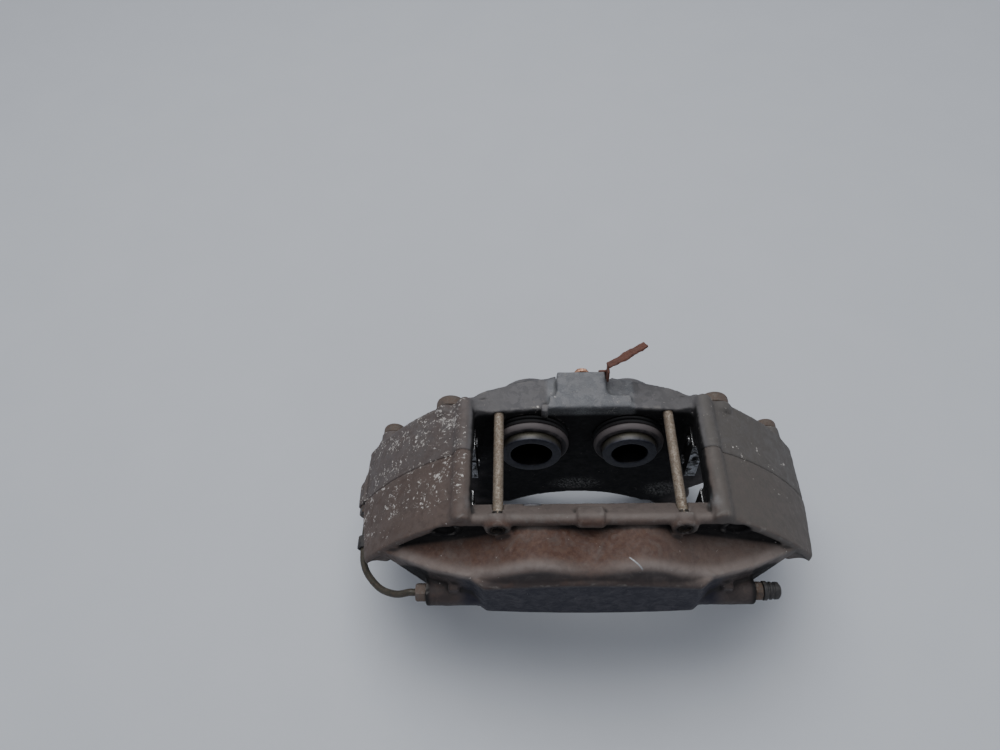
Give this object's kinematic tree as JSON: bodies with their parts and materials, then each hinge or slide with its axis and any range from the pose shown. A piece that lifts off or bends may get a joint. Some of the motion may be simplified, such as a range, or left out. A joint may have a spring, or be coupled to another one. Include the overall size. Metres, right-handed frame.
{
  "type": "brake caliper",
  "caption": "Fixed opposed-piston disc brake caliper in two bolted halves, with pad pins, crossover pipe, bleed screws and knuckle ears.",
  "frame": {"origin": "midpoint between the two knuckle bolt holes, in the plane of the mounting face", "axes": "+X along the caliper towards the bleed screws, +Y along the disc axis towards the vehicle, +Z radially outward from the disc axis"},
  "size_m": [0.3237, 0.156, 0.1746],
  "materials": {
    "cast_outer": "cast aluminium with worn brown-grey paint, chips and rust-coloured brake dust",
    "cast_inner": "cast aluminium with worn grey paint and dirt",
    "bolt_steel": "rusty zinc-plated steel",
    "pin_steel": "worn steel with light rust",
    "spring_steel": "dull spring steel",
    "stainless": "bright stainless sheet",
    "pipe_steel": "plated steel tube, olive with rust",
    "blackened_steel": "black-coated steel",
    "fitting_steel": "dull plated steel",
    "piston_alloy": "hard anodised aluminium, dirty",
    "rubber": "black rubber, matt",
    "boot_rubber": "dusty black rubber",
    "rusty_sheet": "sheet steel with dark red rust",
    "copper_rust": "steel with orange copper-coloured rust"
  },
  "bodies": {
    "housing": {"outer_half": "cast_outer", "inner_half": "cast_inner", "bridge_bolts_large": "bolt_steel", "bridge_bolts_small": "bolt_steel", "pad_pin_left": "pin_steel", "pad_pin_right": "pin_steel", "pin_sleeves": "spring_steel", "plate_screws": "stainless", "crossover_pipe": "pipe_steel", "tube_nut_outer": "bolt_steel", "tube_nut_inner": "blackened_steel", "pipe_sleeve": "rubber", "gallery_plugs": "fitting_steel", "hose_bracket": "rusty_sheet", "bracket_screw": "copper_rust", "seal_outer_large": "rubber", "boot_outer_large": "boot_rubber", "seal_outer_small": "rubber", "boot_outer_small": "boot_rubber", "wear_plate_outer_left": "stainless", "wear_plate_outer_right": "stainless", "seal_inner_large": "rubber", "boot_inner_large": "boot_rubber", "seal_inner_small": "rubber", "boot_inner_small": "boot_rubber", "wear_plate_inner_left": "stainless", "wear_plate_inner_right": "stainless"},
    "piston_outer_large": {"piston_outer_large": "piston_alloy"},
    "piston_outer_small": {"piston_outer_small": "piston_alloy"},
    "piston_inner_large": {"piston_inner_large": "piston_alloy"},
    "piston_inner_small": {"piston_inner_small": "piston_alloy"},
    "bleeder_outer": {"bleed_screw_outer": "fitting_steel"},
    "bleeder_inner": {"bleed_screw_inner": "fitting_steel"},
    "cap_outer": {"bleed_cap_outer": "rubber"},
    "cap_inner": {"bleed_cap_inner": "rubber"}
  },
  "joints": [
    {"name": "piston_outer_large_slide", "type": "slide", "parent": "housing", "child": "piston_outer_large", "axis": [0, 1, 0], "range_m": [0, 0.0155]},
    {"name": "piston_inner_large_slide", "type": "slide", "parent": "housing", "child": "piston_inner_large", "axis": [0, -1, 0], "range_m": [-0.0135, 0.002]},
    {"name": "piston_outer_small_slide", "type": "slide", "parent": "housing", "child": "piston_outer_small", "axis": [0, 1, 0], "range_m": [0, 0.0155]},
    {"name": "piston_inner_small_slide", "type": "slide", "parent": "housing", "child": "piston_inner_small", "axis": [0, -1, 0], "range_m": [-0.0135, 0.002]},
    {"name": "bleeder_outer_turn", "type": "hinge", "parent": "housing", "child": "bleeder_outer", "pos_m": [0.1065, -0.131, 0.0695], "axis": [1, 0, 0], "range_deg": [0, 270]},
    {"name": "bleeder_inner_turn", "type": "hinge", "parent": "housing", "child": "bleeder_inner", "pos_m": [0.106, 0.0012, 0.052], "axis": [1, 0, 0], "range_deg": [0, 270]},
    {"name": "cap_outer_pull", "type": "slide", "parent": "bleeder_outer", "child": "cap_outer", "axis": [1, 0, 0], "range_m": [0, 0.014]},
    {"name": "cap_inner_pull", "type": "slide", "parent": "bleeder_inner", "child": "cap_inner", "axis": [1, 0, 0], "range_m": [0, 0.014]}
  ]
}
